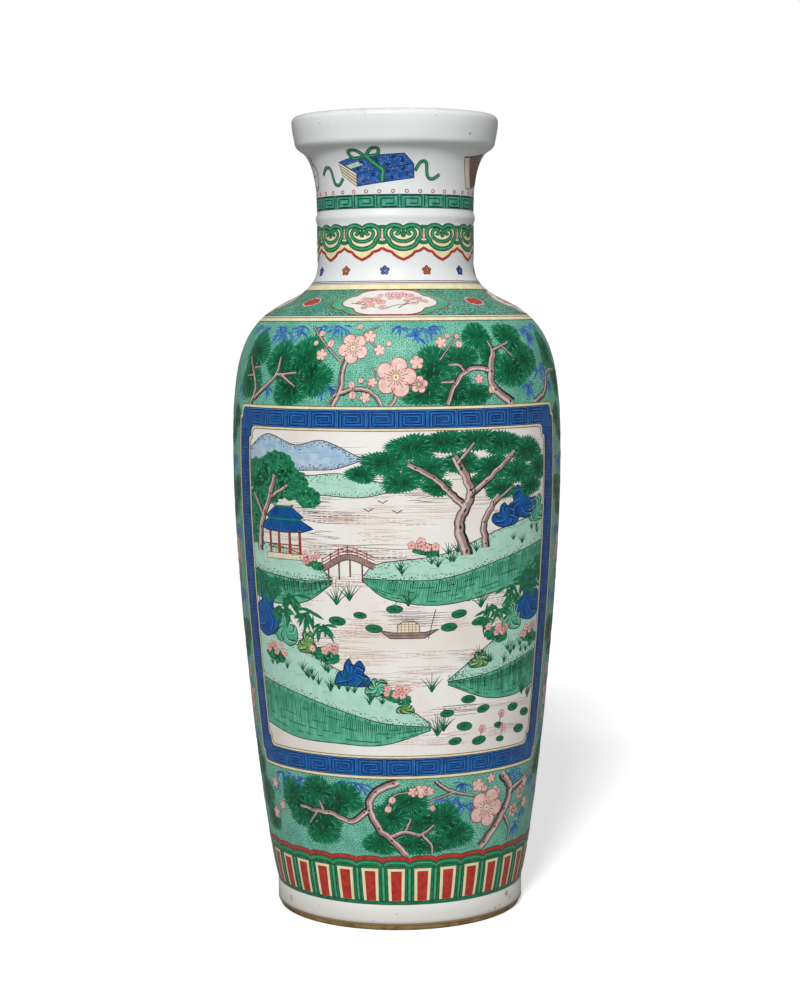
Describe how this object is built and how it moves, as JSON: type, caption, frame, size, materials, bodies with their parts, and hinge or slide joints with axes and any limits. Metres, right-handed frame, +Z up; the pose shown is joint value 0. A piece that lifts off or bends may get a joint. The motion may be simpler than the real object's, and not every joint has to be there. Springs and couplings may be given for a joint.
{
  "type": "rouleau vase",
  "caption": "Tall tapering porcelain vase with round shoulder, ribbed neck and upright dished lip, enamelled in green, blue and pink with framed panels, for flowers or display.",
  "frame": {"origin": "middle of the foot ring's rest face", "axes": "+Z up along the axis of the vase, -Y towards the middle of the front panel"},
  "size_m": [0.1898, 0.1898, 0.4552],
  "materials": {
    "porcelain": "matt fired clay",
    "luting_slip": "matt fired slip",
    "white_glaze": "gloss",
    "mint_green_enamel": "gloss",
    "leaf_green_enamel": "gloss",
    "blue_enamel": "gloss",
    "yellow_enamel": "gloss",
    "panel_wash_enamel": "gloss"
  },
  "bodies": {
    "root": {"foot_ring": "porcelain", "base_disc": "porcelain", "lower_body": "porcelain", "upper_body": "porcelain", "shoulder": "porcelain", "lower_neck": "porcelain", "upper_neck": "porcelain", "neck_rib": "porcelain", "mouth_rim": "porcelain", "base_slip": "luting_slip", "foot_slip": "luting_slip", "body_slip": "luting_slip", "shoulder_slip": "luting_slip", "neck_slip": "luting_slip", "rib_slip": "luting_slip", "mouth_slip": "luting_slip", "outer_glaze": "white_glaze", "inner_glaze": "white_glaze", "base_glaze": "white_glaze", "lappet_enamel": "leaf_green_enamel", "frieze_enamel": "mint_green_enamel", "front_frame_enamel": "blue_enamel", "back_frame_enamel": "blue_enamel", "front_panel_enamel": "panel_wash_enamel", "back_panel_enamel": "panel_wash_enamel", "shoulder_line_enamel": "yellow_enamel", "shoulder_band_enamel": "mint_green_enamel", "neck_line_enamel": "yellow_enamel", "collar_enamel": "leaf_green_enamel", "fret_enamel": "mint_green_enamel"}
  },
  "joints": []
}
